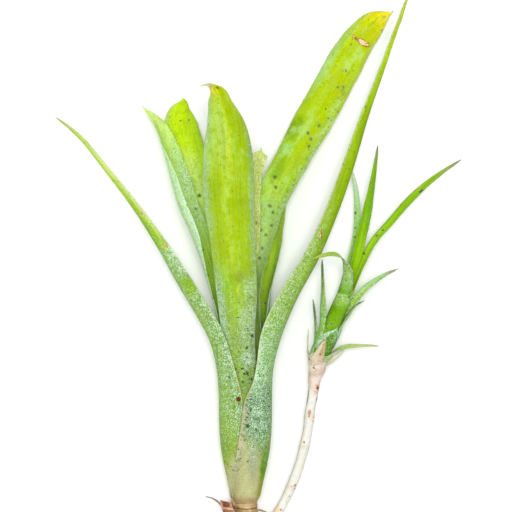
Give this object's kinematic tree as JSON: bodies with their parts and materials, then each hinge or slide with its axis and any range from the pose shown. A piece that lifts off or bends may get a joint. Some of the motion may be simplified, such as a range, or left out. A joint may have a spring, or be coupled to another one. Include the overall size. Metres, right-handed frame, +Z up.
{
  "type": "bromeliad plant",
  "caption": "Bare-rooted bromeliad laid on its side: strap leaves fan out of a rolled sheath tube, with a runner that carries a young offset.",
  "frame": {"origin": "the flat spot under the rolled sheath tube, on the surface the plant lies on", "axes": "+Y along the shoot from its foot to the leaf tips, +Z up towards the viewer, +X towards the runner and the offset"},
  "size_m": [0.1295, 0.187, 0.0382],
  "materials": {
    "stem_bark": "matte",
    "dry_scale": "matte",
    "leaf_scurfy": "satin",
    "leaf_bright": "satin",
    "leaf_dark": "satin",
    "leaf_pale": "satin",
    "runner_skin": "satin",
    "pup_green": "satin",
    "pup_silver": "matte",
    "pup_pale": "matte"
  },
  "bodies": {
    "root": {"stem": "stem_bark", "stem_bract": "dry_scale", "leaf_right_long": "leaf_scurfy", "leaf_left_narrow": "leaf_scurfy", "leaf_front_broad": "leaf_bright", "leaf_left_channelled": "leaf_scurfy", "leaf_right_back": "leaf_dark", "leaf_right_broad": "leaf_bright", "leaf_left_back": "leaf_bright", "leaf_heart": "leaf_pale", "runner": "runner_skin", "pup_leaf_upright": "pup_green", "pup_leaf_right_long": "pup_green", "pup_leaf_back": "pup_silver", "pup_leaf_arched": "pup_silver", "pup_leaf_right_middle": "pup_silver", "pup_leaf_right_small": "pup_green", "pup_leaf_left_upright": "pup_silver", "pup_leaf_left_small": "pup_silver", "pup_leaf_front_sheath": "pup_silver", "pup_leaf_right_low": "pup_pale", "pup_bract_tan": "dry_scale", "pup_bract_pale": "pup_pale", "pup_bract_thread": "pup_pale"}
  },
  "joints": []
}
